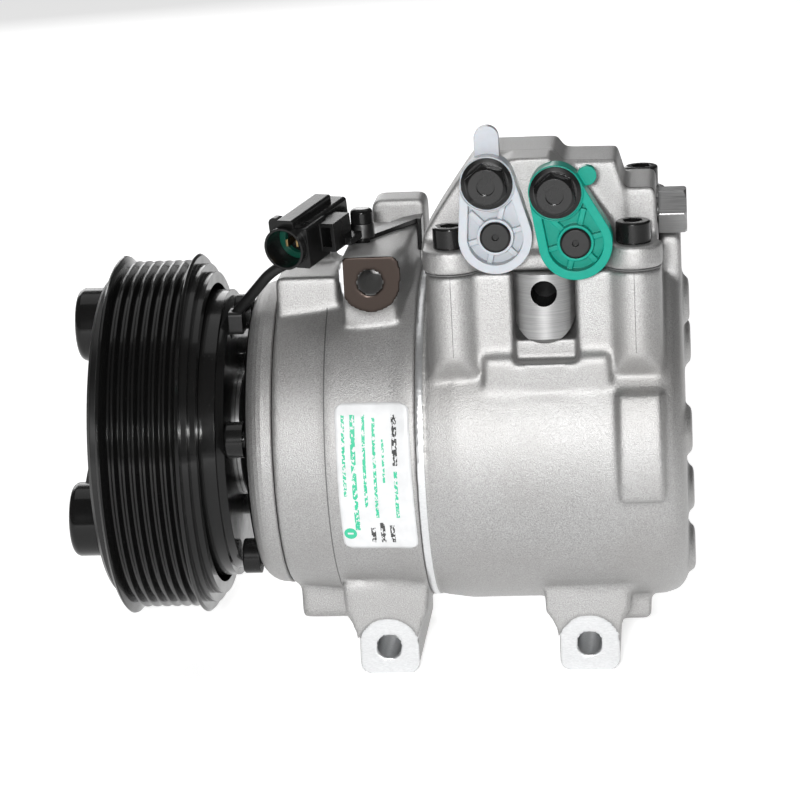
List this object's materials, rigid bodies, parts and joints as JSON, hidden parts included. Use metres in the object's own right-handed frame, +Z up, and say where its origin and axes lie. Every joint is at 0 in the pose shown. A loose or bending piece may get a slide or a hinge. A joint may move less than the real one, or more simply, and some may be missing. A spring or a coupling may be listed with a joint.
{
  "type": "automotive ac compressor",
  "caption": "Swash-plate refrigerant compressor with a ribbed-belt pulley, magnetic clutch, cast body with mounting lugs, and a bolted manifold with capped ports.",
  "frame": {"origin": "on the shaft axis, in the mid-plane of the belt", "axes": "+X along the shaft from the pulley to the rear end, +Y away from the ported side, +Z up"},
  "size_m": [0.2162, 0.1339, 0.1978],
  "materials": {
    "black_paint": "gloss black",
    "armature_steel": "dark ground steel",
    "bearing_steel": "polished",
    "steel": "machined",
    "black_oxide": "black oxide, oiled",
    "copper_winding": "enamelled wire",
    "potting_resin": "cast resin",
    "black_rubber": "matt",
    "piston_aluminium": "machined",
    "ring_plastic": "filled fluoropolymer",
    "gasket_sheet": "coated sheet",
    "cast_aluminium": "die cast, blasted",
    "machined_aluminium": "turned",
    "white_plastic": "natural, slightly milky",
    "green_plastic": "satin",
    "connector_plastic": "satin",
    "seal_rubber": "matt",
    "pin_brass": "bright",
    "bracket_steel": "satin black",
    "spacer_steel": "plated",
    "label_film": "printed film"
  },
  "bodies": {
    "body": {"coil_shell": "black_paint", "bearing_inner_race": "bearing_steel", "needle_bearings": "bearing_steel", "thrust_bearings": "bearing_steel", "shoes": "bearing_steel", "nose_snap_ring": "steel", "coil_snap_ring": "steel", "seal_retainer": "steel", "front_valve_plate": "steel", "rear_valve_plate": "steel", "suction_reeds": "steel", "discharge_reeds": "steel", "swash_plate": "steel", "through_bolts": "black_oxide", "manifold_screws": "black_oxide", "cap_bolts": "black_oxide", "bracket_screw": "black_oxide", "coil_winding": "copper_winding", "coil_potting": "potting_resin", "coil_lead": "black_rubber", "lead_gland": "black_rubber", "port_plugs": "black_rubber", "main_oring": "black_rubber", "shaft_seal": "black_rubber", "pistons": "piston_aluminium", "piston_rings": "ring_plastic", "head_gaskets": "gasket_sheet", "manifold_gasket": "gasket_sheet", "front_head": "cast_aluminium", "front_casting": "cast_aluminium", "rear_casting": "cast_aluminium", "manifold_block": "cast_aluminium", "turned_sleeve": "machined_aluminium", "relief_valve": "machined_aluminium", "rear_block": "machined_aluminium", "white_cap": "white_plastic", "green_cap": "green_plastic", "connector_shell": "connector_plastic", "connector_seal": "seal_rubber", "connector_pins": "pin_brass", "bracket": "bracket_steel", "bracket_spacer": "spacer_steel", "label": "label_film"},
    "pulley": {"pulley": "black_paint", "bearing_outer_race": "bearing_steel", "bearing_seals": "black_rubber"},
    "ball_set": {"bearing_balls": "bearing_steel", "bearing_cages": "steel"},
    "rotor": {"shaft": "steel", "hub_plate": "black_paint", "hub_boss": "steel", "hub_bolt": "black_oxide", "hub_washer": "steel", "hub_shims": "steel", "damper_rubbers": "black_rubber"},
    "armature": {"armature_plate": "armature_steel", "damper_pins": "steel"}
  },
  "joints": [
    {"name": "pulley_spin", "type": "hinge", "parent": "body", "child": "pulley", "pos_m": [0, 0, 0], "axis": [1, 0, 0], "continuous": true},
    {"name": "ball_set_spin", "type": "hinge", "parent": "body", "child": "ball_set", "pos_m": [0, 0, 0], "axis": [1, 0, 0], "continuous": true},
    {"name": "shaft_spin", "type": "hinge", "parent": "body", "child": "rotor", "pos_m": [0, 0, 0], "axis": [1, 0, 0], "continuous": true},
    {"name": "armature_slide", "type": "slide", "parent": "rotor", "child": "armature", "axis": [1, 0, 0], "range_m": [0, 0.00045], "stiffness_N_per_m": 20000, "springref_m": -0.001}
  ],
  "couplings": [
    {"joint": "ball_set_spin", "follows": "pulley_spin", "ratio": 0.5733}
  ]
}
